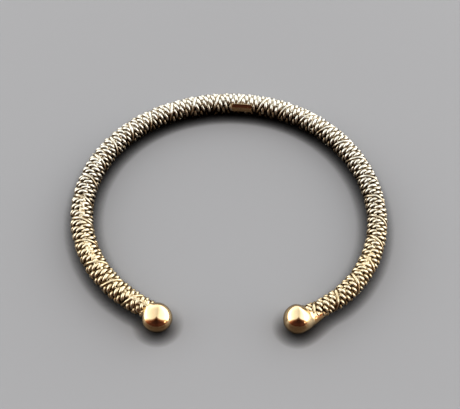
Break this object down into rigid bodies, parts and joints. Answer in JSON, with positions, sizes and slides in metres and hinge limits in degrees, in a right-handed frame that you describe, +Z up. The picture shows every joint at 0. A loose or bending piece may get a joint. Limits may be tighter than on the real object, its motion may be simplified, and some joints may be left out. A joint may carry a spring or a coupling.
{
  "type": "bronze bangle",
  "caption": "Open oval bangle of cast bronze, its rod patterned like twisted wires wound side by side, with a smooth ball at each end.",
  "frame": {"origin": "middle of the footprint, on the surface that the bangle lies on", "axes": "+X across the hoop, the longest side; +Y from the gap to the back of the hoop; +Z up, the thickness of the lying bangle"},
  "size_m": [0.0688, 0.0638, 0.0055],
  "materials": {
    "bronze": "polished yellow bronze, dark patina in the grooves between the wires"
  },
  "bodies": {
    "root": {"bangle": "bronze"}
  },
  "joints": []
}
